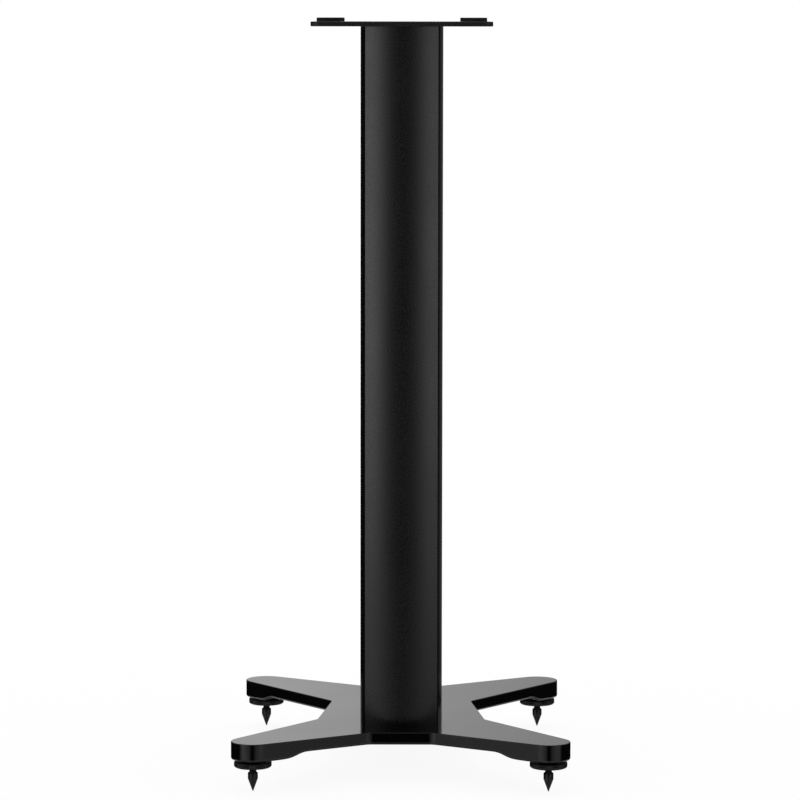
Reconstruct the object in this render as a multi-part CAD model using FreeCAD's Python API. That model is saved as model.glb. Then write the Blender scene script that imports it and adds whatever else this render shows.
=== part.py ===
import FreeCAD, Part
import math
import os

# Speaker stand.  Millimetres, +X right, +Y back, +Z up.
# The origin is on the floor, under the middle of the four spikes.

# ---- driving dimensions ----
PLATE_TOP_Z = 610.0
PLATE_WIDTH = 145.2
PLATE_DEPTH = 190.0
PLATE_THICKNESS = 3.85
PLATE_CORNER_RADIUS = 7.0
PLATE_EDGE_RADIUS = 0.6

PAD_RADIUS = 9.75
PAD_HEIGHT = 3.2
PAD_EDGE_RADIUS = 0.7
PAD_INSET = 14.4

COLUMN_HALF_WIDTH = 33.3
COLUMN_FLAT_HALF_DEPTH = 50.0
CORE_HALF_DEPTH = 72.1
CORE_CORNER_HALF_WIDTH = 30.1
CORE_WALL = 2.8
CORE_WEB_THICKNESS = 2.4
CORE_WEB_Y = 26.0
PORT_X = 21.5
PORT_Y = 63.0
PORT_RADIUS = 6.6

PANEL_HALF_WIDTH = 29.3
PANEL_EDGE_Y = 74.6
PANEL_CROWN_Y = 81.4
PANEL_THICKNESS = 2.5

RIB_X = 8.0
RIB_STEM_HALF_WIDTH = 1.1
RIB_HEAD_HALF_WIDTH = 2.6
RIB_HEAD_THICKNESS = 1.6
RIB_DEPTH = 4.2
RIB_CLEARANCE = 0.15
RIB_CHANNEL_WALL = 2.0

BASE_TOP_Z = 40.5
BASE_THICKNESS = 10.0
BASE_END_Y = 106.5
BASE_END_HALF_WIDTH = 25.5
BASE_END_BLEND_RADIUS = 10.0
WAIST_REAR = (58.6, 38.0)
WAIST_FRONT = (68.6, -46.0)
WAIST_BLEND_RADIUS = 9.0
ARM_END_RADIUS = 17.4
BASE_TOP_EDGE_RADIUS = 0.6
BASE_BOTTOM_EDGE_RADIUS = 2.0
# How far the arm's underside drops, at distances from the foot's centre towards the middle.
ARM_SWELL = [(36.0, 0.0), (29.0, 0.7), (22.5, 2.9), (16.5, 4.2), (11.0, 4.5), (5.0, 4.6)]

FOOT_X = 117.7
FOOT_Y = 141.5

THREAD_RADIUS = 3.0
THREAD_CLEARANCE = 0.05
INSERT_RADIUS = 5.0
INSERT_LENGTH = 11.0
INSERT_FLANGE_RADIUS = 7.0
INSERT_FLANGE_THICKNESS = 1.2
INSERT_HOLE_EXTRA = 0.6

FOOT_WASHER_RADIUS = 6.0
FOOT_WASHER_BORE_RADIUS = 3.2
FOOT_WASHER_THICKNESS = 1.6

DISC_RADIUS = 15.0
DISC_THICKNESS = 4.7
DISC_TOP_EDGE = 0.7
DISC_BOTTOM_EDGE = 1.1

SPIKE_TIP_RADIUS = 0.35
SPIKE_BODY_RADIUS = 4.0
SPIKE_CONE_HEIGHT = 10.1
SPIKE_SHOULDER_Z = 15.3
SPIKE_SHOULDER_CHAMFER = 0.5
SPIKE_TOP_Z = 35.6
SPIKE_TOP_CHAMFER = 0.6

TOP_SCREW_RADIUS = 3.0
TOP_SCREW_HEAD_RADIUS = 5.9
TOP_SCREW_SOCKET_HALF_FLATS = 2.0
TOP_SCREW_SOCKET_DEPTH = 2.2
TOP_SCREW_REACH = 21.0
TOP_SCREW_BORE_DEPTH = 22.0
BASE_SCREW_RADIUS = 4.0
BASE_SCREW_HEAD_RADIUS = 7.0
BASE_SCREW_HEAD_HEIGHT = 4.4
# The button head's rounded outline: share of its radius, and height above its lowest face.
BASE_SCREW_HEAD_CURVE = [(0.55, 0.0), (0.85, 1.2), (1.0, 3.0)]
BASE_SCREW_TIP_CHAMFER = 0.8
BASE_SCREW_SOCKET_HALF_FLATS = 2.5
BASE_SCREW_SOCKET_DEPTH = 2.6
BASE_SCREW_REACH = 24.0
BASE_SCREW_BORE_DEPTH = 26.0
BASE_SCREW_HOLE_RADIUS = 4.4
BASE_WASHER_RADIUS = 8.0
BASE_WASHER_BORE_RADIUS = 4.2
BASE_WASHER_THICKNESS = 1.6
COUNTERBORE_RADIUS = 8.6
COUNTERBORE_DEPTH = 5.0
SCREW_PORT_GAP = 0.05

# ---- worked out from the driving dimensions ----
PLATE_UNDERSIDE_Z = PLATE_TOP_Z - PLATE_THICKNESS
COLUMN_HEIGHT = PLATE_UNDERSIDE_Z - BASE_TOP_Z
BASE_UNDERSIDE_Z = BASE_TOP_Z - BASE_THICKNESS
ARM_END_UNDERSIDE_Z = BASE_UNDERSIDE_Z - ARM_SWELL[-1][1]
DISC_TOP_Z = ARM_END_UNDERSIDE_Z - FOOT_WASHER_THICKNESS
COUNTERBORE_ROOF_Z = BASE_UNDERSIDE_Z + COUNTERBORE_DEPTH
BASE_WASHER_Z = COUNTERBORE_ROOF_Z - BASE_WASHER_THICKNESS
COUNTERSINK_Z = PLATE_TOP_Z - (TOP_SCREW_HEAD_RADIUS - TOP_SCREW_RADIUS)
UP = FreeCAD.Vector(0, 0, 1)

# ---- how an edge of the base is told apart ----
UPRIGHT_NORMAL_Z = 1e-6
DOWNWARD_NORMAL_Z = -0.5
HEIGHT_TOLERANCE = 0.01

FEET = {
    "front_left": (-FOOT_X, -FOOT_Y),
    "front_right": (FOOT_X, -FOOT_Y),
    "rear_left": (-FOOT_X, FOOT_Y),
    "rear_right": (FOOT_X, FOOT_Y),
}


# ---- small helpers ----
def vec(x, y, z=0.0):
    return FreeCAD.Vector(x, y, z)


def cylinder(radius, height, x, y, z):
    return Part.makeCylinder(radius, height, vec(x, y, z), UP)


def turned(points, x, y):
    """A solid of revolution about the vertical line through (x, y), from (radius, z) points."""
    wire = Part.makePolygon([vec(r, 0, z) for r, z in points] + [vec(points[0][0], 0, points[0][1])])
    solid = Part.Face(wire).revolve(vec(0, 0, 0), UP, 360)
    solid.translate(vec(x, y))
    return solid


def hexagon(half_flats, height, x, y, z):
    """A hexagonal prism that stands on z."""
    radius = half_flats / math.cos(math.radians(30))
    corners = [vec(x + radius * math.cos(math.radians(60 * i)),
                   y + radius * math.sin(math.radians(60 * i)), z) for i in range(7)]
    return Part.Face(Part.makePolygon(corners)).extrude(vec(0, 0, height))


def rectangle(x0, x1, y0, y1):
    corners = [vec(x0, y0), vec(x1, y0), vec(x1, y1), vec(x0, y1), vec(x0, y0)]
    return Part.Face(Part.makePolygon(corners))


def rounded_outline(corners):
    """A closed wire through (x, y, blend radius) corners, with a tangent arc at each blended one."""
    starts, ends, arcs = [], [], []
    count = len(corners)
    for i, (x, y, radius) in enumerate(corners):
        here = vec(x, y)
        to_last = (vec(*corners[i - 1][:2]) - here).normalize()
        to_next = (vec(*corners[(i + 1) % count][:2]) - here).normalize()
        half = 0.5 * to_last.getAngle(to_next)
        reach = radius / math.tan(half)
        middle = here + (to_last + to_next).normalize() * (radius / math.sin(half) - radius)
        starts.append(here + to_last * reach)
        ends.append(here + to_next * reach)
        arcs.append(Part.Arc(starts[-1], middle, ends[-1]).toShape())
    edges = []
    for i in range(count):
        edges.append(arcs[i])
        edges.append(Part.makeLine(ends[i], starts[(i + 1) % count]))
    return Part.Wire(edges)


def edges_at(shape, z):
    """The edges that lie flat at one height."""
    return [e for e in shape.Edges
            if max(abs(e.BoundBox.ZMin - z), abs(e.BoundBox.ZMax - z)) < HEIGHT_TOLERANCE]


def screw_places():
    """Where the column's screw ports stand, in plan."""
    return [(sx * PORT_X, sy * PORT_Y) for sy in (-1, 1) for sx in (-1, 1)]


# ---- base ----
def arm_corner(end):
    """Where a right arm's two edges would meet beyond its round end; end is -1 in front, 1 behind."""
    inner = WAIST_FRONT if end < 0 else WAIST_REAR
    outer = (BASE_END_HALF_WIDTH, BASE_END_Y * end)
    foot = vec(FOOT_X, FOOT_Y * end)
    directions = []
    for start, turn in ((vec(*outer), -end), (vec(*inner), end)):
        to_foot = foot - start
        lean = math.asin(ARM_END_RADIUS / to_foot.Length) * turn
        angle = math.atan2(to_foot.y, to_foot.x) - lean
        directions.append((start, vec(math.cos(angle), math.sin(angle))))
    (p, d), (q, e) = directions
    along = ((q.x - p.x) * e.y - (q.y - p.y) * e.x) / (d.x * e.y - d.y * e.x)
    return p.x + d.x * along, p.y + d.y * along


def base_outline():
    """The X-shaped plan of the base, counter-clockwise from the right end of its front edge."""
    right = [
        (BASE_END_HALF_WIDTH, -BASE_END_Y, BASE_END_BLEND_RADIUS),
        (*arm_corner(-1), ARM_END_RADIUS),
        (*WAIST_FRONT, WAIST_BLEND_RADIUS),
        (*WAIST_REAR, WAIST_BLEND_RADIUS),
        (*arm_corner(1), ARM_END_RADIUS),
        (BASE_END_HALF_WIDTH, BASE_END_Y, BASE_END_BLEND_RADIUS),
    ]
    left = [(-x, y, radius) for x, y, radius in reversed(right)]
    return rounded_outline(right + left)


def arm_swell(x, y):
    """A block under one arm, cut along the S-shaped sweep that its underside follows."""
    heading = math.degrees(math.atan2(y, x))
    curve = Part.BSplineCurve()
    curve.interpolate(Points=[vec(-s, 0, BASE_UNDERSIDE_Z - drop) for s, drop in ARM_SWELL],
                      InitialTangent=vec(1, 0), FinalTangent=vec(1, 0))
    start_s, end_s = -ARM_SWELL[0][0], -ARM_SWELL[-1][0]
    beyond = 2 * ARM_END_RADIUS
    corners = [(end_s, ARM_END_UNDERSIDE_Z), (beyond, ARM_END_UNDERSIDE_Z), (beyond, BASE_TOP_Z),
               (start_s, BASE_TOP_Z), (start_s, BASE_UNDERSIDE_Z)]
    closing = Part.makePolygon([vec(s, 0, z) for s, z in corners])
    width = 2 * FOOT_X
    block = Part.Face(Part.Wire([curve.toShape()] + closing.Edges)).extrude(vec(0, width))
    block.translate(vec(0, -0.5 * width))
    block.rotate(vec(0, 0), UP, heading)
    block.translate(vec(x, y))
    return block


def underside_rim(shape):
    """The edges where an upright side meets a face that looks down."""
    rim = []
    for edge in shape.Edges:
        middle = edge.valueAt(0.5 * (edge.FirstParameter + edge.LastParameter))
        facing = [face.normalAt(*face.Surface.parameter(middle)).z
                  for face in shape.ancestorsOfType(edge, Part.Face)]
        if min(abs(z) for z in facing) < UPRIGHT_NORMAL_Z and min(facing) < DOWNWARD_NORMAL_Z:
            rim.append(edge)
    return rim


def base_casting():
    plan = Part.Face(base_outline())
    plan.translate(vec(0, 0, ARM_END_UNDERSIDE_Z))
    full = plan.extrude(vec(0, 0, BASE_TOP_Z - ARM_END_UNDERSIDE_Z))
    plan.translate(vec(0, 0, BASE_UNDERSIDE_Z - ARM_END_UNDERSIDE_Z))
    body = plan.extrude(vec(0, 0, BASE_THICKNESS))
    for x, y in FEET.values():
        body = body.fuse(full.common(arm_swell(x, y)))
    body = body.removeSplitter()
    body = body.makeFillet(BASE_TOP_EDGE_RADIUS, edges_at(body, BASE_TOP_Z))
    body = body.makeFillet(BASE_BOTTOM_EDGE_RADIUS, underside_rim(body))
    for x, y in FEET.values():
        depth = INSERT_LENGTH + INSERT_HOLE_EXTRA
        body = body.cut(cylinder(INSERT_RADIUS, depth, x, y, ARM_END_UNDERSIDE_Z))
        body = body.cut(cylinder(INSERT_FLANGE_RADIUS, INSERT_FLANGE_THICKNESS, x, y, ARM_END_UNDERSIDE_Z))
    for x, y in screw_places():
        body = body.cut(cylinder(BASE_SCREW_HOLE_RADIUS, BASE_THICKNESS, x, y, BASE_UNDERSIDE_Z))
        body = body.cut(cylinder(COUNTERBORE_RADIUS, COUNTERBORE_DEPTH, x, y, BASE_UNDERSIDE_Z))
    return body


# ---- column ----
def core_side_x(y, inset=0.0):
    """The core's half width at a depth y: flat in the middle, drawn in towards the front and back."""
    reach = CORE_HALF_DEPTH - COLUMN_FLAT_HALF_DEPTH
    drawn_in = COLUMN_HALF_WIDTH - CORE_CORNER_HALF_WIDTH
    radius = (reach ** 2 + drawn_in ** 2) / (2 * drawn_in)
    over = max(0.0, abs(y) - COLUMN_FLAT_HALF_DEPTH)
    return COLUMN_HALF_WIDTH - inset - (radius - math.sqrt(radius ** 2 - over ** 2))


def core_section(inset=0.0):
    """The plan of the core, or of its inner wall when inset by the wall's thickness."""
    end_y = CORE_HALF_DEPTH - inset
    flat_y = COLUMN_FLAT_HALF_DEPTH
    side_x = COLUMN_HALF_WIDTH - inset
    mid_y = 0.5 * (flat_y + end_y)
    edges = []
    corners = []
    for sx, sy in ((1, -1), (1, 1), (-1, 1), (-1, -1)):
        arc = [vec(sx * core_side_x(y, inset), sy * y) for y in (end_y, mid_y, flat_y)]
        corners.append(arc if sx * sy < 0 else arc[::-1])
    for i, arc in enumerate(corners):
        edges.append(Part.Arc(*arc).toShape())
        edges.append(Part.makeLine(arc[2], corners[(i + 1) % 4][0]))
    return Part.Face(Part.Wire(edges))


def rib_section(clearance=0.0):
    """The T-shaped rib on a panel's back, and with clearance the slot that it slides in."""
    face_y = -CORE_HALF_DEPTH
    head_back = face_y + RIB_DEPTH + clearance
    head_front = face_y + RIB_DEPTH - RIB_HEAD_THICKNESS - clearance
    parts = []
    for x in (-RIB_X, RIB_X):
        stem = RIB_STEM_HALF_WIDTH + clearance
        head = RIB_HEAD_HALF_WIDTH + clearance
        parts.append(rectangle(x - stem, x + stem, face_y - PANEL_THICKNESS, head_back))
        parts.append(rectangle(x - head, x + head, head_front, head_back))
    return parts


def column_core():
    wall = core_section()
    hollow = core_section(CORE_WALL)
    back = CORE_HALF_DEPTH - RIB_DEPTH - RIB_CLEARANCE - RIB_CHANNEL_WALL
    channel = RIB_HEAD_HALF_WIDTH + RIB_CLEARANCE + RIB_CHANNEL_WALL
    for x in (-RIB_X, RIB_X):
        for sy in (-1, 1):
            near, far = sorted((sy * back, sy * CORE_HALF_DEPTH))
            hollow = hollow.cut(rectangle(x - channel, x + channel, near, far))
    for x, y in screw_places():
        post = Part.Face(Part.Wire(Part.makeCircle(PORT_RADIUS, vec(x, y))))
        hollow = hollow.cut(post)
    for y in (-CORE_WEB_Y, CORE_WEB_Y):
        half = 0.5 * CORE_WEB_THICKNESS
        hollow = hollow.cut(rectangle(-COLUMN_HALF_WIDTH, COLUMN_HALF_WIDTH, y - half, y + half))
    section = wall.cut(hollow)
    for slot in rib_section(RIB_CLEARANCE):
        section = section.cut(slot)
        section = section.cut(slot.mirror(vec(0, 0), vec(0, 1, 0)))
    section.translate(vec(0, 0, BASE_TOP_Z))
    core = section.extrude(vec(0, 0, COLUMN_HEIGHT))
    for x, y in screw_places():
        bore = BASE_SCREW_RADIUS + SCREW_PORT_GAP
        core = core.cut(cylinder(bore, BASE_SCREW_BORE_DEPTH, x, y, BASE_TOP_Z))
        bore = TOP_SCREW_RADIUS + SCREW_PORT_GAP
        depth = TOP_SCREW_BORE_DEPTH
        core = core.cut(cylinder(bore, depth, x, y, PLATE_UNDERSIDE_Z - depth))
    return core.removeSplitter()


def column_panel():
    """The convex front skin, with two T-shaped ribs down its back."""
    drop = PANEL_CROWN_Y - PANEL_EDGE_Y
    radius = (PANEL_HALF_WIDTH ** 2 + drop ** 2) / (2 * drop)
    centre_y = -PANEL_CROWN_Y + radius
    inner_x = PANEL_HALF_WIDTH - PANEL_THICKNESS

    def arc_y(x, r):
        return centre_y - math.sqrt(r ** 2 - x ** 2)

    inner = radius - PANEL_THICKNESS
    face_y = -CORE_HALF_DEPTH
    edges = [
        Part.Arc(vec(-PANEL_HALF_WIDTH, -PANEL_EDGE_Y), vec(0, -PANEL_CROWN_Y),
                 vec(PANEL_HALF_WIDTH, -PANEL_EDGE_Y)).toShape(),
        Part.makeLine(vec(PANEL_HALF_WIDTH, -PANEL_EDGE_Y), vec(PANEL_HALF_WIDTH, face_y)),
        Part.makeLine(vec(PANEL_HALF_WIDTH, face_y), vec(inner_x, face_y)),
        Part.makeLine(vec(inner_x, face_y), vec(inner_x, arc_y(inner_x, inner))),
        Part.Arc(vec(inner_x, arc_y(inner_x, inner)), vec(0, arc_y(0, inner)),
                 vec(-inner_x, arc_y(inner_x, inner))).toShape(),
        Part.makeLine(vec(-inner_x, arc_y(inner_x, inner)), vec(-inner_x, face_y)),
        Part.makeLine(vec(-inner_x, face_y), vec(-PANEL_HALF_WIDTH, face_y)),
        Part.makeLine(vec(-PANEL_HALF_WIDTH, face_y), vec(-PANEL_HALF_WIDTH, -PANEL_EDGE_Y)),
    ]
    sections = [Part.Face(Part.Wire(edges))] + rib_section()
    for x in (-RIB_X, RIB_X):
        left, right = x - RIB_STEM_HALF_WIDTH, x + RIB_STEM_HALF_WIDTH
        sections.append(rectangle(left, right, arc_y(0, inner), face_y))
    lengths = []
    for section in sections:
        section.translate(vec(0, 0, BASE_TOP_Z))
        lengths.append(section.extrude(vec(0, 0, COLUMN_HEIGHT)))
    return lengths[0].fuse(lengths[1:]).removeSplitter()


# ---- top plate and pads ----
def top_plate():
    half_w, half_d = 0.5 * PLATE_WIDTH, 0.5 * PLATE_DEPTH
    corners = [(-half_w, -half_d), (half_w, -half_d), (half_w, half_d), (-half_w, half_d)]
    plan = Part.Face(rounded_outline([(x, y, PLATE_CORNER_RADIUS) for x, y in corners]))
    plan.translate(vec(0, 0, PLATE_UNDERSIDE_Z))
    plate = plan.extrude(vec(0, 0, PLATE_THICKNESS))
    rims = edges_at(plate, PLATE_TOP_Z) + edges_at(plate, PLATE_UNDERSIDE_Z)
    plate = plate.makeFillet(PLATE_EDGE_RADIUS, rims)
    hole = TOP_SCREW_RADIUS + SCREW_PORT_GAP
    for x, y in screw_places():
        plate = plate.cut(countersunk_head(x, y))
        plate = plate.cut(cylinder(hole, PLATE_THICKNESS, x, y, PLATE_UNDERSIDE_Z))
    return plate


def countersunk_head(x, y):
    """The cone that a countersunk head fills, flush with the plate's top."""
    depth = PLATE_TOP_Z - COUNTERSINK_Z
    return Part.makeCone(TOP_SCREW_RADIUS, TOP_SCREW_HEAD_RADIUS, depth, vec(x, y, COUNTERSINK_Z), UP)


def rubber_pad(x, y):
    pad = cylinder(PAD_RADIUS, PAD_HEIGHT, x, y, PLATE_TOP_Z)
    return pad.makeFillet(PAD_EDGE_RADIUS, edges_at(pad, PLATE_TOP_Z + PAD_HEIGHT))


# ---- fasteners ----
def top_screws():
    solids = []
    tip_z = PLATE_UNDERSIDE_Z - TOP_SCREW_REACH
    socket_z = PLATE_TOP_Z - TOP_SCREW_SOCKET_DEPTH
    for x, y in screw_places():
        shank = cylinder(TOP_SCREW_RADIUS, COUNTERSINK_Z - tip_z, x, y, tip_z)
        screw = countersunk_head(x, y).fuse(shank).removeSplitter()
        socket = hexagon(TOP_SCREW_SOCKET_HALF_FLATS, TOP_SCREW_SOCKET_DEPTH, x, y, socket_z)
        solids.append(screw.cut(socket))
    return Part.makeCompound(solids)


def base_screws():
    solids = []
    head_z = BASE_WASHER_Z - BASE_SCREW_HEAD_HEIGHT
    tip_z = BASE_TOP_Z + BASE_SCREW_REACH
    chamfer = BASE_SCREW_TIP_CHAMFER
    head = [(share * BASE_SCREW_HEAD_RADIUS, head_z + height) for share, height in BASE_SCREW_HEAD_CURVE]
    shank = [(BASE_SCREW_RADIUS, BASE_WASHER_Z), (BASE_SCREW_RADIUS, tip_z - chamfer),
             (BASE_SCREW_RADIUS - chamfer, tip_z), (0, tip_z)]
    profile = [(0, head_z)] + head + [(BASE_SCREW_HEAD_RADIUS, BASE_WASHER_Z)] + shank
    for x, y in screw_places():
        socket = hexagon(BASE_SCREW_SOCKET_HALF_FLATS, BASE_SCREW_SOCKET_DEPTH, x, y, head_z)
        solids.append(turned(profile, x, y).cut(socket))
    return Part.makeCompound(solids)


def base_screw_washers():
    solids = []
    for x, y in screw_places():
        ring = cylinder(BASE_WASHER_RADIUS, BASE_WASHER_THICKNESS, x, y, BASE_WASHER_Z)
        bore = cylinder(BASE_WASHER_BORE_RADIUS, BASE_WASHER_THICKNESS, x, y, BASE_WASHER_Z)
        solids.append(ring.cut(bore))
    return Part.makeCompound(solids)


# ---- feet ----
def foot_insert(x, y):
    """A flanged sleeve, pressed up into the arm end, that the spike's shank screws into."""
    z0 = ARM_END_UNDERSIDE_Z
    bore = THREAD_RADIUS
    profile = [(bore, z0), (INSERT_FLANGE_RADIUS, z0), (INSERT_FLANGE_RADIUS, z0 + INSERT_FLANGE_THICKNESS),
               (INSERT_RADIUS, z0 + INSERT_FLANGE_THICKNESS), (INSERT_RADIUS, z0 + INSERT_LENGTH),
               (bore, z0 + INSERT_LENGTH)]
    return turned(profile, x, y)


def foot_washer(x, y):
    ring = cylinder(FOOT_WASHER_RADIUS, FOOT_WASHER_THICKNESS, x, y, DISC_TOP_Z)
    return ring.cut(cylinder(FOOT_WASHER_BORE_RADIUS, FOOT_WASHER_THICKNESS, x, y, DISC_TOP_Z))


def lock_disc(x, y):
    top, bottom = DISC_TOP_Z, DISC_TOP_Z - DISC_THICKNESS
    profile = [(THREAD_RADIUS, bottom), (DISC_RADIUS - DISC_BOTTOM_EDGE, bottom),
               (DISC_RADIUS, bottom + DISC_BOTTOM_EDGE), (DISC_RADIUS, top - DISC_TOP_EDGE),
               (DISC_RADIUS - DISC_TOP_EDGE, top), (THREAD_RADIUS, top)]
    return turned(profile, x, y)


def spike(x, y):
    shank = THREAD_RADIUS - THREAD_CLEARANCE
    profile = [(0, 0), (SPIKE_TIP_RADIUS, 0), (SPIKE_BODY_RADIUS, SPIKE_CONE_HEIGHT),
               (SPIKE_BODY_RADIUS, SPIKE_SHOULDER_Z - SPIKE_SHOULDER_CHAMFER),
               (SPIKE_BODY_RADIUS - SPIKE_SHOULDER_CHAMFER, SPIKE_SHOULDER_Z), (shank, SPIKE_SHOULDER_Z),
               (shank, SPIKE_TOP_Z - SPIKE_TOP_CHAMFER), (shank - SPIKE_TOP_CHAMFER, SPIKE_TOP_Z),
               (0, SPIKE_TOP_Z)]
    return turned(profile, x, y)


# ---- write one file per piece ----
def save(name, shape):
    solids = shape.Solids
    print(f"{name:28s} solids {len(solids)}  valid {shape.isValid()}  volume {shape.Volume:12.1f}")
    piece = solids[0] if len(solids) == 1 else Part.makeCompound(solids)
    piece.exportStep(f"parts/{name}.step")


os.makedirs("parts", exist_ok=True)
save("base_casting", base_casting())
save("column_core", column_core())
front_panel = column_panel()
save("column_front_panel", front_panel)
save("column_rear_panel", front_panel.mirror(vec(0, 0), vec(0, 1, 0)))
save("top_plate", top_plate())
save("top_plate_screws", top_screws())
save("base_screws", base_screws())
save("base_screw_washers", base_screw_washers())
pad_x = 0.5 * PLATE_WIDTH - PAD_INSET
pad_y = 0.5 * PLATE_DEPTH - PAD_INSET
for corner, (foot_x, foot_y) in FEET.items():
    sign_x, sign_y = math.copysign(1, foot_x), math.copysign(1, foot_y)
    save(f"pad_{corner}", rubber_pad(sign_x * pad_x, sign_y * pad_y))
    save(f"foot_insert_{corner}", foot_insert(foot_x, foot_y))
    save(f"foot_washer_{corner}", foot_washer(foot_x, foot_y))
    save(f"lock_disc_{corner}", lock_disc(foot_x, foot_y))
    save(f"spike_{corner}", spike(foot_x, foot_y))
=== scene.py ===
import math

import bpy
from mathutils import Matrix, Vector


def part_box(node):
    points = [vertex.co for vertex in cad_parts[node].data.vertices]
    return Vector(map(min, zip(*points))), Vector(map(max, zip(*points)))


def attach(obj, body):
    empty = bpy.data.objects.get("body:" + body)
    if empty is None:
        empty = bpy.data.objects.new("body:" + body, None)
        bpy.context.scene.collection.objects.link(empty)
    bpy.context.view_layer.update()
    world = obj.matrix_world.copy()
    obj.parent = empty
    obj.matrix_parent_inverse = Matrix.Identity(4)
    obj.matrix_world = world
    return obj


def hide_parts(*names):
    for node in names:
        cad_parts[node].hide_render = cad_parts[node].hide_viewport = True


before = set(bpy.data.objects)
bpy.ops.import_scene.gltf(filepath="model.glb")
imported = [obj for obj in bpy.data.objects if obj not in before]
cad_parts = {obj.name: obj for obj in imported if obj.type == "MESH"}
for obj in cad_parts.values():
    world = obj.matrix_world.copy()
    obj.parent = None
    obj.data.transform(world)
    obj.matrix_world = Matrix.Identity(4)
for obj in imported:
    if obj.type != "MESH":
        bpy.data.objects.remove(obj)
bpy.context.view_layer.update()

MM = 0.001
CORNERS = ("front_left", "front_right", "rear_left", "rear_right")


def arc(start, end):
    """A band of directions, given in degrees."""
    return math.radians(start), math.radians(end)


# ---- camera ----
CAMERA_PLACE = (0.0090, -3.1291, 0.6134)
CAMERA_YAW = math.radians(-0.19)
CAMERA_PITCH = math.radians(5.738)
CAMERA_ROLL = math.radians(0.075)
CAMERA_LENS = 171.39
CAMERA_SENSOR = 36.0
CAMERA_CLIP = (0.05, 60.0)

# ---- finishes ----
# Tones are shares of the colour, dark and light. Noise scales are in grains to the metre.
COAT_IOR = 1.45
OXIDE_IOR = 1.5
DISC_IOR = 1.35
SPIKE_IOR = 1.38
COAT_BLACK = (0.0022, 0.0022, 0.0022)
OXIDE_BLACK = (0.006, 0.006, 0.006)
DISC_BLACK = (0.004, 0.004, 0.004)
SPIKE_BLACK = (0.005, 0.005, 0.005)
WASHER_ZINC = (0.55, 0.55, 0.56)
INSERT_ZINC = (0.5, 0.5, 0.5)
NOISE_RANGE = (0.3, 0.7)
CLOUD_DRIFT = 0.015

ANODISED_TONES = (0.8, 1.25)
ANODISED_CLOUD = 14.0
ANODISED_SPECKLE = 0.03
GRAIN_SCALE = 1150.0
GRAIN_STRETCH = (1.0, 1.0, 0.45)
DRAWN_SCALE = 700.0
DRAWN_STRETCH = (1.0, 1.0, 0.012)
DRAWN_DEPTH = 0.004 * MM

COAT_TONES = (0.85, 1.2)
COAT_FINE = 1700.0
COAT_CLOUD = 18.0
COAT_SPECKLE = 0.02
RIPPLE_SCALE = 240.0
RIPPLE_DEPTH = 0.004 * MM

RUBBER_DARK = (0.003, 0.003, 0.003)
RUBBER_LIGHT = (0.006, 0.006, 0.006)
RUBBER_FINE = 2200.0
RUBBER_DEPTH = 0.03 * MM
RUBBER_ROUGHNESS = (0.68, 0.82)

TURNED_TONES = (0.8, 1.25)
TURNED_FINE = 1500.0
TURNED_SPECKLE = 0.04
TURNED_RINGS = 2600.0
TURNED_DEPTH = 0.01 * MM

# ---- turned feet ----
SHARP_ANGLE = math.radians(35)
SHANK_RADIUS = 2.95 * MM
SHANK_CHAMFER = 0.6 * MM
THREAD_PITCH = 1.0 * MM
THREAD_DEPTH = 0.6 * MM
THREAD_START = 0.1 * MM
THREAD_RINGS = 8
# How far the slopes of the thread overshoot its crests and its roots, which leaves both flat.
THREAD_CREST = 1.25
THREAD_ROOT = 1.15
SPIKE_STEPS = 48
SPIKE_TIP = 0.35 * MM
SPIKE_TIP_FLAT = 0.55 * SPIKE_TIP
SPIKE_TIP_HEIGHT = 0.25 * MM
SPIKE_CONE = 10.1 * MM
SPIKE_CONE_STEPS = 8
SPIKE_SHOULDER = 15.3 * MM
# The body above the cone: how far inside the full radius, and how far above the tip.
SPIKE_BODY = (
    (0.06 * MM, SPIKE_CONE - 0.1 * MM),
    (0.0, SPIKE_CONE + 0.3 * MM),
    (0.0, SPIKE_SHOULDER - 0.7 * MM),
    (0.15 * MM, SPIKE_SHOULDER - 0.3 * MM),
    (0.5 * MM, SPIKE_SHOULDER),
)
DISC_BORE = 3.0 * MM
DISC_TEETH = 120
DISC_TOOTH_STEPS = 4
DISC_TOOTH_DEPTH = 0.15 * MM
DISC_GROOVE = DISC_TOOTH_DEPTH + 0.05 * MM
# The disc's edges, from each face to the knurl: how far inside the rim, and how far from the face.
DISC_LOWER_EDGE = ((1.3 * MM, 0.0), (1.1 * MM, 0.0), (0.62 * MM, 0.3 * MM), (DISC_GROOVE, 0.85 * MM))
DISC_UPPER_EDGE = ((0.9 * MM, 0.0), (0.7 * MM, 0.0), (0.42 * MM, 0.2 * MM), (DISC_GROOVE, 0.5 * MM))
KNURL_ABOVE_BOTTOM = 1.1 * MM
KNURL_BELOW_TOP = 0.7 * MM

# ---- floor and light ----
FLOOR_RADIUS = 2.2
FLOOR_RINGS = 24
FLOOR_STEPS = 96
FLOOR_FADE = (0.25, 1.0)
FLOOR_DIFFUSE = 0.12
FLOOR_LIT_LEVEL = 0.62
TOP_BOX_PLACE = (0.0, 0.3, 1.9)
TOP_BOX_AIM = (0.0, 0.0, 0.3)
TOP_BOX_SIZE = (1.2, 1.2)
TOP_BOX_POWER = 6.0

# ---- studio ----
# Each pair is where a fade starts and where it ends. Arcs run to the right, from straight behind the stand
# for the backdrop and the rim light, and from straight in front of it for the rest. Heights are the upward
# part of a unit direction.
SEEN_LEVEL = 1.0
ROOM_LEVEL = 0.45
ROOM_REFLECTED_LOW = 0.004

BACKDROP_LEVEL = 0.93
BACKDROP_LEFT = arc(-20, -8)
BACKDROP_STEP = arc(-2, 5)
BACKDROP_STEP_SHARE = 0.45
BACKDROP_RIGHT = arc(5, 60)
BACKDROP_FOOT = (0.03, 0.13)

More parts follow.
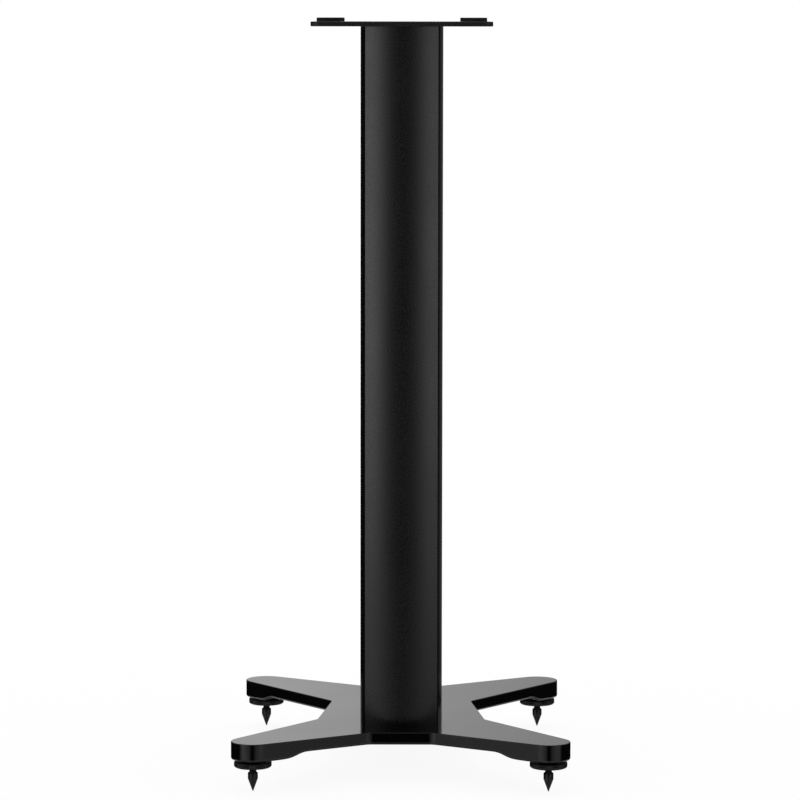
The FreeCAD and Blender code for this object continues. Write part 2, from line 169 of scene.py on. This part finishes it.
RIM_LEVEL = 0.13
RIM_LEFT = arc(-3, 3)
RIM_RIGHT = arc(18, 30)
RIM_RIGHT_SHARE = 0.1
RIM_FOOT = (-0.185, -0.165)

FRONT_MIDDLE = (-0.1, 0.1)
LEFT_CARD_LEVEL = 3.7
RIGHT_CARD_LEVEL = 2.6
CARD_INNER = arc(17, 46)
CARD_OUTER = arc(52, 74)
CARD_FOOT = (-0.175, -0.105)
CARD_TOP = (-0.02, 0.10)
CARD_TOP_SHARE = 0.2

LEFT_STRIP_LEVEL = 0.78
RIGHT_STRIP_LEVEL = 0.64
STRIP_INNER = arc(4, 20)
STRIP_OUTER = arc(54, 74)
STRIP_TOP = (-0.172, -0.186)

SIDE_LEVEL = 0.35
SIDE_FRONT = arc(80, 88)
SIDE_REAR = arc(120, 135)
SIDE_FOOT = (-0.15, -0.09)

GROUND_LEVEL = 1.0
GROUND_FAR = (-0.33, -0.44)
GROUND_NEAR = (-0.52, -0.72)
GROUND_NEAR_SHARE = 0.27

SKY_LEVEL = 0.5
SKY_HEIGHTS = (0.2, 0.7)


# ---------------------------------------------------------------- node helpers
class Nodes:
    """A short way to write a node tree."""

    def __init__(self, tree):
        self.tree = tree

    def add(self, kind, **settings):
        node = self.tree.nodes.new(kind)
        for name, value in settings.items():
            setattr(node, name, value)
        return node

    def feed(self, socket, value):
        if isinstance(value, bpy.types.NodeSocket):
            self.tree.links.new(value, socket)
        else:
            socket.default_value = value

    def math(self, operation, a, b=0.0):
        node = self.add("ShaderNodeMath", operation=operation)
        self.feed(node.inputs[0], a)
        self.feed(node.inputs[1], b)
        return node.outputs[0]

    def times(self, first, *others):
        for value in others:
            first = self.math("MULTIPLY", first, value)
        return first

    def brightest(self, first, *others):
        for value in others:
            first = self.math("MAXIMUM", first, value)
        return first

    def remap(self, value, low, high, to_low=0.0, to_high=1.0, smooth=False):
        node = self.add("ShaderNodeMapRange")
        if smooth:
            node.interpolation_type = "SMOOTHSTEP"
        self.feed(node.inputs["Value"], value)
        node.inputs["From Min"].default_value = low
        node.inputs["From Max"].default_value = high
        node.inputs["To Min"].default_value = to_low
        node.inputs["To Max"].default_value = to_high
        return node.outputs["Result"]

    def fade(self, value, start, end, to_low=0.0, to_high=1.0):
        return self.remap(value, start, end, to_low, to_high, smooth=True)

    def noise(self, vector, scale, detail=2.0, roughness=0.5):
        node = self.add("ShaderNodeTexNoise")
        self.feed(node.inputs["Vector"], vector)
        node.inputs["Scale"].default_value = scale
        node.inputs["Detail"].default_value = detail
        node.inputs["Roughness"].default_value = roughness
        return node.outputs["Fac"]

    def stretched(self, vector, scale):
        node = self.add("ShaderNodeMapping")
        self.feed(node.inputs["Vector"], vector)
        node.inputs["Scale"].default_value = scale
        return node.outputs["Vector"]

    def blend_colours(self, share, first, second):
        node = self.add("ShaderNodeMix", data_type="RGBA")
        self.feed(node.inputs["Factor"], share)
        self.feed(node.inputs["A"], (*first, 1.0))
        self.feed(node.inputs["B"], (*second, 1.0))
        return node.outputs["Result"]

    def mottled(self, noise, colour, dark_share, light_share):
        """The colour, a little darker and lighter with the noise."""
        dark = tuple(dark_share * c for c in colour)
        light = tuple(light_share * c for c in colour)
        return self.blend_colours(self.remap(noise, *NOISE_RANGE), dark, light)

    def uneven(self, roughness, cloud, fine, speckle):
        """A roughness that drifts with the cloudy noise and speckles with the fine one."""
        patchy = self.remap(cloud, *NOISE_RANGE, roughness - CLOUD_DRIFT, roughness + CLOUD_DRIFT)
        return self.math("ADD", patchy, self.remap(fine, *NOISE_RANGE, -speckle, speckle))

    def bump(self, height, distance, below=None):
        node = self.add("ShaderNodeBump")
        node.inputs["Strength"].default_value = 1.0
        node.inputs["Distance"].default_value = distance
        self.feed(node.inputs["Height"], height)
        if below is not None:
            self.feed(node.inputs["Normal"], below)
        return node.outputs["Normal"]

    def switch(self, share, off, on):
        """The value off where share is 0, and on where it is 1."""
        node = self.add("ShaderNodeMix", data_type="FLOAT")
        self.feed(node.inputs["Factor"], share)
        self.feed(node.inputs["A"], off)
        self.feed(node.inputs["B"], on)
        return node.outputs["Result"]


def new_material(name):
    """A node material, with its helper, its shader and its object-space coordinates."""
    material = bpy.data.materials.new(name)
    material.use_nodes = True
    nodes = Nodes(material.node_tree)
    shader = material.node_tree.nodes["Principled BSDF"]
    place = nodes.add("ShaderNodeTexCoord").outputs["Object"]
    return material, nodes, shader, place


# ---------------------------------------------------------------- materials
def satin_anodised(name, colour, roughness, spread, grain_depth):
    """Black anodised extrusion: a satin skin with fine short grain along it, which spreads gloss sideways."""
    material, nodes, shader, place = new_material(name)
    grain = nodes.noise(nodes.stretched(place, GRAIN_STRETCH), GRAIN_SCALE, detail=3.0, roughness=0.6)
    drawn = nodes.noise(nodes.stretched(place, DRAWN_STRETCH), DRAWN_SCALE)
    cloud = nodes.noise(place, ANODISED_CLOUD)
    nodes.feed(shader.inputs["Base Color"], nodes.mottled(grain, colour, *ANODISED_TONES))
    nodes.feed(shader.inputs["Roughness"], nodes.uneven(roughness, cloud, grain, ANODISED_SPECKLE))
    along = nodes.bump(drawn, DRAWN_DEPTH)
    nodes.feed(shader.inputs["Normal"], nodes.bump(grain, grain_depth, below=along))
    shader.inputs["IOR"].default_value = COAT_IOR
    shader.inputs["Anisotropic"].default_value = spread
    return material


def fine_coat(name, colour, roughness, ior, depth, metallic=0.0):
    """A thin coat of powder, oxide or zinc: a tiny rounded texture with a slow ripple under it."""
    material, nodes, shader, place = new_material(name)
    fine = nodes.noise(place, COAT_FINE)
    ripple = nodes.noise(place, RIPPLE_SCALE)
    cloud = nodes.noise(place, COAT_CLOUD)
    nodes.feed(shader.inputs["Base Color"], nodes.mottled(fine, colour, *COAT_TONES))
    nodes.feed(shader.inputs["Roughness"], nodes.uneven(roughness, cloud, fine, COAT_SPECKLE))
    slow = nodes.bump(ripple, RIPPLE_DEPTH)
    nodes.feed(shader.inputs["Normal"], nodes.bump(fine, depth, below=slow))
    shader.inputs["Metallic"].default_value = metallic
    shader.inputs["IOR"].default_value = ior
    return material


def rubber(name):
    """Dull black rubber with a fine even texture."""
    material, nodes, shader, place = new_material(name)
    fine = nodes.noise(place, RUBBER_FINE, detail=3.0, roughness=0.6)
    tone = nodes.remap(fine, *NOISE_RANGE)
    nodes.feed(shader.inputs["Base Color"], nodes.blend_colours(tone, RUBBER_DARK, RUBBER_LIGHT))
    nodes.feed(shader.inputs["Roughness"], nodes.remap(fine, *NOISE_RANGE, *RUBBER_ROUGHNESS))
    nodes.feed(shader.inputs["Normal"], nodes.bump(fine, RUBBER_DEPTH))
    shader.inputs["IOR"].default_value = COAT_IOR
    return material


def turned_metal(name, colour, metallic, roughness, centre, ior=COAT_IOR):
    """Lathe-turned metal: faint rings round the upright axis at centre, and fine scatter."""
    material, nodes, shader, place = new_material(name)
    shift = nodes.add("ShaderNodeVectorMath", operation="SUBTRACT")
    nodes.feed(shift.inputs[0], place)
    shift.inputs[1].default_value = (centre.x, centre.y, 0.0)
    split = nodes.add("ShaderNodeSeparateXYZ")
    nodes.feed(split.inputs[0], shift.outputs["Vector"])
    x, y, z = split.outputs
    square = nodes.math("ADD", nodes.math("MULTIPLY", x, x), nodes.math("MULTIPLY", y, y))
    join = nodes.add("ShaderNodeCombineXYZ")
    nodes.feed(join.inputs["X"], nodes.math("SQRT", square))
    nodes.feed(join.inputs["Z"], z)
    rings = nodes.noise(join.outputs["Vector"], TURNED_RINGS, detail=1.0)
    fine = nodes.noise(place, TURNED_FINE)
    gloss = nodes.remap(fine, *NOISE_RANGE, roughness - TURNED_SPECKLE, roughness + TURNED_SPECKLE)
    nodes.feed(shader.inputs["Base Color"], nodes.mottled(fine, colour, *TURNED_TONES))
    nodes.feed(shader.inputs["Roughness"], gloss)
    nodes.feed(shader.inputs["Normal"], nodes.bump(rings, TURNED_DEPTH))
    shader.inputs["Metallic"].default_value = metallic
    shader.inputs["IOR"].default_value = ior
    return material


def paint(node, material):
    """Gives a CAD node its material."""
    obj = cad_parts[node]
    obj.data.materials.clear()
    obj.data.materials.append(material)


# ---------------------------------------------------------------- turned feet
def ring_mesh(name, rings, caps, material):
    """A closed mesh from rings of vertices, low to high; caps are its two end points, or none for a tube."""
    steps = len(rings[0])
    vertices = [point for ring in rings for point in ring]
    faces = []
    pairs = list(zip(range(len(rings) - 1), range(1, len(rings))))
    if caps is None:
        pairs.append((len(rings) - 1, 0))
    for low_ring, high_ring in pairs:
        for j in range(steps):
            k = (j + 1) % steps
            faces.append((low_ring * steps + j, low_ring * steps + k,
                          high_ring * steps + k, high_ring * steps + j))
    if caps is not None:
        bottom, top = len(vertices), len(vertices) + 1
        vertices += list(caps)
        last = (len(rings) - 1) * steps
        for j in range(steps):
            k = (j + 1) % steps
            faces.append((bottom, k, j))
            faces.append((top, last + j, last + k))
    mesh = bpy.data.meshes.new(name)
    mesh.from_pydata(vertices, [], faces)
    mesh.polygons.foreach_set("use_smooth", [True] * len(mesh.polygons))
    mesh.set_sharp_from_angle(angle=SHARP_ANGLE)
    mesh.materials.append(material)
    piece = bpy.data.objects.new(name, mesh)
    bpy.context.scene.collection.objects.link(piece)
    return piece


def ring_at(centre, z, radii):
    """The points of one ring, from a radius for each step round it."""
    angles = [2 * math.pi * j / len(radii) for j in range(len(radii))]
    return [(centre.x + r * math.cos(angle), centre.y + r * math.sin(angle), z)
            for r, angle in zip(radii, angles)]


def thread_radius(z, turn, low_z, high_z):
    """A rolled 60 degree thread with flat crests and roots, which runs out at both ends of the shank."""
    phase = (z / THREAD_PITCH - turn) % 1.0
    height = min(1.0, THREAD_CREST * abs(2.0 * phase - 1.0))
    cut = THREAD_DEPTH * min(1.0, THREAD_ROOT * (1.0 - height))
    fade = min(1.0, (z - low_z) / THREAD_PITCH, (high_z - z) / THREAD_PITCH)
    return SHANK_RADIUS - cut * max(0.0, fade)


def threaded_spike(corner, material):
    """A turned point with a short neck, on an M6 threaded shank."""
    low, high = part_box(f"spike_{corner}")
    centre = 0.5 * (low + high)
    body = 0.5 * (high.x - low.x)
    profile = [(SPIKE_TIP_FLAT, low.z), (SPIKE_TIP, low.z + SPIKE_TIP_HEIGHT)]
    for i in range(1, SPIKE_CONE_STEPS):
        share = i / SPIKE_CONE_STEPS
        profile.append((SPIKE_TIP + (body - SPIKE_TIP) * share,
                        low.z + SPIKE_TIP_HEIGHT + (SPIKE_CONE - SPIKE_TIP_HEIGHT) * share))
    profile += [(body - inset, low.z + rise) for inset, rise in SPIKE_BODY]
    profile.append((SHANK_RADIUS, low.z + SPIKE_SHOULDER))
    rings = [ring_at(centre, z, [r] * SPIKE_STEPS) for r, z in profile]
    thread_low, thread_high = low.z + SPIKE_SHOULDER + THREAD_START, high.z - SHANK_CHAMFER
    count = round((thread_high - thread_low) / THREAD_PITCH * THREAD_RINGS)
    for i in range(count + 1):
        z = thread_low + (thread_high - thread_low) * i / count
        rings.append(ring_at(centre, z, [thread_radius(z, j / SPIKE_STEPS, thread_low, thread_high)
                                         for j in range(SPIKE_STEPS)]))
    rings.append(ring_at(centre, high.z, [SHANK_RADIUS - SHANK_CHAMFER] * SPIKE_STEPS))
    ends = [(centre.x, centre.y, low.z), (centre.x, centre.y, high.z)]
    piece = ring_mesh(f"threaded_spike_{corner}", rings, ends, material)
    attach(piece, f"spike_{corner}")
    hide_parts(f"spike_{corner}")


def knurled_disc(corner, material):
    """A lock disc with softened edges and a fine straight knurl round its rim."""
    low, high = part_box(f"lock_disc_{corner}")
    centre = 0.5 * (low + high)
    rim = 0.5 * (high.x - low.x)
    bottom, top = low.z, high.z
    steps = DISC_TEETH * DISC_TOOTH_STEPS

    def plain(radius, z):
        return ring_at(centre, z, [radius] * steps)

    def knurled(z):
        cuts = [DISC_TOOTH_DEPTH * 0.5 * (1.0 - math.cos(2 * math.pi * j / DISC_TOOTH_STEPS))
                for j in range(steps)]
        return ring_at(centre, z, [rim - cut for cut in cuts])

    rings = [plain(DISC_BORE, bottom)]
    rings += [plain(rim - inset, bottom + rise) for inset, rise in DISC_LOWER_EDGE]
    rings += [knurled(bottom + KNURL_ABOVE_BOTTOM), knurled(0.5 * (bottom + top)),
              knurled(top - KNURL_BELOW_TOP)]
    rings += [plain(rim - inset, top - drop) for inset, drop in reversed(DISC_UPPER_EDGE)]
    rings.append(plain(DISC_BORE, top))
    piece = ring_mesh(f"knurled_disc_{corner}", rings, None, material)
    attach(piece, f"lock_disc_{corner}")
    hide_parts(f"lock_disc_{corner}")


# ---------------------------------------------------------------- the pieces' finishes
def finish_frame():
    """The finishes of the column, the base, the plate and their screws."""
    panel = satin_anodised("panel_satin", COAT_BLACK, roughness=0.28, spread=0.85, grain_depth=0.010 * MM)
    core = satin_anodised("core_satin", COAT_BLACK, roughness=0.24, spread=0.3, grain_depth=0.006 * MM)
    paint("column_front_panel", panel)
    paint("column_rear_panel", panel)
    paint("column_core", core)
    paint("base_casting",
          fine_coat("base_powder", COAT_BLACK, roughness=0.14, ior=COAT_IOR, depth=0.010 * MM))
    paint("top_plate",
          fine_coat("plate_powder", COAT_BLACK, roughness=0.50, ior=COAT_IOR, depth=0.010 * MM))
    paint("top_plate_screws",
          fine_coat("screw_oxide", OXIDE_BLACK, roughness=0.34, ior=OXIDE_IOR, depth=0.004 * MM))
    paint("base_screws",
          fine_coat("base_screw_oxide", OXIDE_BLACK, roughness=0.34, ior=OXIDE_IOR, depth=0.004 * MM))
    paint("base_screw_washers",
          fine_coat("washer_zinc", WASHER_ZINC, roughness=0.3, ior=OXIDE_IOR, depth=0.003 * MM, metallic=1.0))


def finish_feet():
    """The finishes of the pads and of the feet, with their threaded spikes and knurled discs."""
    pad = rubber("pad_rubber")
    for corner in CORNERS:
        low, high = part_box(f"spike_{corner}")
        centre = 0.5 * (low + high)
        paint(f"pad_{corner}", pad)
        paint(f"foot_insert_{corner}",
              turned_metal(f"insert_zinc_{corner}", INSERT_ZINC, 1.0, 0.32, centre))
        paint(f"foot_washer_{corner}",
              turned_metal(f"washer_black_{corner}", OXIDE_BLACK, 0.0, 0.38, centre))
        knurled_disc(corner,
                     turned_metal(f"disc_black_{corner}", DISC_BLACK, 0.0, 0.38, centre, DISC_IOR))
        threaded_spike(corner,
                       turned_metal(f"spike_black_{corner}", SPIKE_BLACK, 0.0, 0.42, centre, SPIKE_IOR))


# ---------------------------------------------------------------- studio, floor, light and camera
def ray_kinds(nodes):
    """Is the ray one that looks straight at the surroundings, and is it a reflected one?"""
    path = nodes.add("ShaderNodeLightPath")
    seen = nodes.math("MAXIMUM", path.outputs["Is Camera Ray"], path.outputs["Is Transmission Ray"])
    return seen, path.outputs["Is Glossy Ray"]


def backdrop(nodes, turn, z):
    """White backdrop behind the stand, brightest just left of the middle, dimming away to the right."""
    right_side = nodes.times(nodes.remap(turn, *BACKDROP_STEP, 1.0, BACKDROP_STEP_SHARE),
                             nodes.remap(turn, *BACKDROP_RIGHT, 1.0, 0.0))
    return nodes.times(nodes.fade(turn, *BACKDROP_LEFT), right_side, nodes.fade(z, *BACKDROP_FOOT),
                       BACKDROP_LEVEL)


def rim_light(nodes, turn, z):
    """Dim light behind the stand, right of the middle."""
    return nodes.times(nodes.fade(turn, *RIM_LEFT), nodes.fade(turn, *RIM_RIGHT, 1.0, RIM_RIGHT_SHARE),
                       nodes.remap(z, *RIM_FOOT, 0.0, RIM_LEVEL))


def cards(nodes, front, off_axis, z):
    """Two upright white cards in front, one on each side, dimmer towards their tops."""
    across = nodes.times(nodes.fade(off_axis, *CARD_INNER), nodes.fade(off_axis, *CARD_OUTER, 1.0, 0.0))
    upright = nodes.times(nodes.fade(z, *CARD_FOOT), nodes.fade(z, *CARD_TOP, 1.0, CARD_TOP_SHARE))
    return nodes.times(across, upright, nodes.remap(front, *FRONT_MIDDLE, LEFT_CARD_LEVEL, RIGHT_CARD_LEVEL))


def strips(nodes, front, off_axis, z):
    """Weaker light under the cards."""
    return nodes.times(nodes.fade(off_axis, *STRIP_INNER), nodes.fade(off_axis, *STRIP_OUTER, 1.0, 0.0),
                       nodes.remap(front, *FRONT_MIDDLE, LEFT_STRIP_LEVEL, RIGHT_STRIP_LEVEL),
                       nodes.fade(z, *STRIP_TOP))


def sides(nodes, off_axis, z):
    """Dim light at the two sides."""
    return nodes.times(nodes.fade(off_axis, *SIDE_FRONT), nodes.fade(off_axis, *SIDE_REAR, 1.0, 0.0),
                       nodes.fade(z, *SIDE_FOOT, 0.0, SIDE_LEVEL))


def ground(nodes, z):
    """Pale ground some way off, darker near the stand."""
    return nodes.times(nodes.fade(z, *GROUND_FAR, 0.0, GROUND_LEVEL),
                       nodes.fade(z, *GROUND_NEAR, 1.0, GROUND_NEAR_SHARE))


def make_world():
    """White to the camera, an even soft light, and in reflections a dark studio with pale parts."""
    world = bpy.data.worlds.new("studio")
    bpy.context.scene.world = world
    world.use_nodes = True
    nodes = Nodes(world.node_tree)
    background = world.node_tree.nodes["Background"]
    seen, glossy = ray_kinds(nodes)
    split = nodes.add("ShaderNodeSeparateXYZ")
    nodes.feed(split.inputs[0], nodes.add("ShaderNodeTexCoord").outputs["Generated"])
    x, y, z = split.outputs
    turn = nodes.math("ARCTAN2", x, y)
    front = nodes.math("ARCTAN2", x, nodes.math("MULTIPLY", y, -1.0))
    off_axis = nodes.math("ABSOLUTE", front)
    sky = nodes.fade(z, *SKY_HEIGHTS, 0.0, SKY_LEVEL)
    reflected = nodes.brightest(backdrop(nodes, turn, z), rim_light(nodes, turn, z),
                                cards(nodes, front, off_axis, z), strips(nodes, front, off_axis, z),
                                sides(nodes, off_axis, z), ground(nodes, z), sky, ROOM_REFLECTED_LOW)
    level = nodes.switch(seen, nodes.switch(glossy, ROOM_LEVEL, reflected), SEEN_LEVEL)
    nodes.feed(background.inputs["Strength"], level)
    background.inputs["Color"].default_value = (1.0, 1.0, 1.0, 1.0)


def floor_material():
    """Mostly a white of its own, with a diffuse share near the stand; clear from below and in reflections."""
    material = bpy.data.materials.new("pale_floor")
    material.use_nodes = True
    tree = material.node_tree
    tree.nodes.remove(tree.nodes["Principled BSDF"])
    nodes = Nodes(tree)
    seen, glossy = ray_kinds(nodes)
    length = nodes.add("ShaderNodeVectorMath", operation="LENGTH")
    nodes.feed(length.inputs[0], nodes.add("ShaderNodeTexCoord").outputs["Object"])
    share = nodes.fade(length.outputs["Value"], *FLOOR_FADE, FLOOR_DIFFUSE, 0.0)
    own = nodes.math("SUBTRACT", 1.0, nodes.math("MULTIPLY", share, FLOOR_LIT_LEVEL))
    grey = nodes.add("ShaderNodeCombineXYZ")
    lit_share = nodes.math("MULTIPLY", share, seen)
    for axis in "XYZ":
        nodes.feed(grey.inputs[axis], lit_share)
    diffuse = nodes.add("ShaderNodeBsdfDiffuse")
    nodes.feed(diffuse.inputs["Color"], grey.outputs["Vector"])
    glow = nodes.add("ShaderNodeEmission")
    nodes.feed(glow.inputs["Strength"], nodes.math("MULTIPLY", seen, own))
    both = nodes.add("ShaderNodeAddShader")
    nodes.feed(both.inputs[0], diffuse.outputs["BSDF"])
    nodes.feed(both.inputs[1], glow.outputs["Emission"])
    clear = nodes.add("ShaderNodeBsdfTransparent")
    under = nodes.add("ShaderNodeNewGeometry").outputs["Backfacing"]
    surface = nodes.add("ShaderNodeMixShader")
    nodes.feed(surface.inputs["Fac"], nodes.math("MAXIMUM", under, glossy))
    nodes.feed(surface.inputs[1], both.outputs["Shader"])
    nodes.feed(surface.inputs[2], clear.outputs["BSDF"])
    nodes.feed(tree.nodes["Material Output"].inputs["Surface"], surface.outputs["Shader"])
    material.cycles.emission_sampling = "NONE"
    return material


def make_floor():
    """A pale round floor that takes the stand's soft shadow."""
    vertices = [(0.0, 0.0, 0.0)]
    faces = []
    for i in range(1, FLOOR_RINGS + 1):
        radius = FLOOR_RADIUS * i / FLOOR_RINGS
        for j in range(FLOOR_STEPS):
            angle = 2 * math.pi * j / FLOOR_STEPS
            vertices.append((radius * math.cos(angle), radius * math.sin(angle), 0.0))
    for j in range(FLOOR_STEPS):
        faces.append((0, 1 + j, 1 + (j + 1) % FLOOR_STEPS))
    for i in range(FLOOR_RINGS - 1):
        inner, outer = 1 + i * FLOOR_STEPS, 1 + (i + 1) * FLOOR_STEPS
        for j in range(FLOOR_STEPS):
            k = (j + 1) % FLOOR_STEPS
            faces.append((inner + j, outer + j, outer + k, inner + k))
    mesh = bpy.data.meshes.new("floor")
    mesh.from_pydata(vertices, [], faces)
    floor = bpy.data.objects.new("floor", mesh)
    bpy.context.scene.collection.objects.link(floor)
    mesh.materials.append(floor_material())


def make_top_box():
    """An area light above the stand, which isn't itself seen by the camera."""
    data = bpy.data.lights.new("top_box", "AREA")
    data.shape = "RECTANGLE"
    data.size, data.size_y = TOP_BOX_SIZE
    data.energy = TOP_BOX_POWER
    light = bpy.data.objects.new("top_box", data)
    light.location = TOP_BOX_PLACE
    towards = Vector(TOP_BOX_AIM) - Vector(TOP_BOX_PLACE)
    light.rotation_euler = towards.to_track_quat("-Z", "Y").to_euler()
    light.visible_camera = False
    bpy.context.scene.collection.objects.link(light)


def make_camera():
    """The camera's axes are built from yaw (to the right), pitch (down) and roll."""
    forward = Vector((math.sin(CAMERA_YAW) * math.cos(CAMERA_PITCH),
                      math.cos(CAMERA_YAW) * math.cos(CAMERA_PITCH), -math.sin(CAMERA_PITCH)))
    level = Vector((math.cos(CAMERA_YAW), -math.sin(CAMERA_YAW), 0.0))
    upright = level.cross(forward)
    right = math.cos(CAMERA_ROLL) * level + math.sin(CAMERA_ROLL) * upright
    up = -math.sin(CAMERA_ROLL) * level + math.cos(CAMERA_ROLL) * upright
    data = bpy.data.cameras.new("camera")
    data.lens = CAMERA_LENS
    data.sensor_width = CAMERA_SENSOR
    data.clip_start, data.clip_end = CAMERA_CLIP
    camera = bpy.data.objects.new("camera", data)
    axes = Matrix((right, up, -forward)).transposed()
    camera.matrix_world = Matrix.Translation(CAMERA_PLACE) @ axes.to_4x4()
    bpy.context.scene.collection.objects.link(camera)
    bpy.context.scene.camera = camera


finish_frame()
finish_feet()
make_world()
make_floor()
make_top_box()
make_camera()
bpy.context.scene.view_settings.view_transform = "Standard"
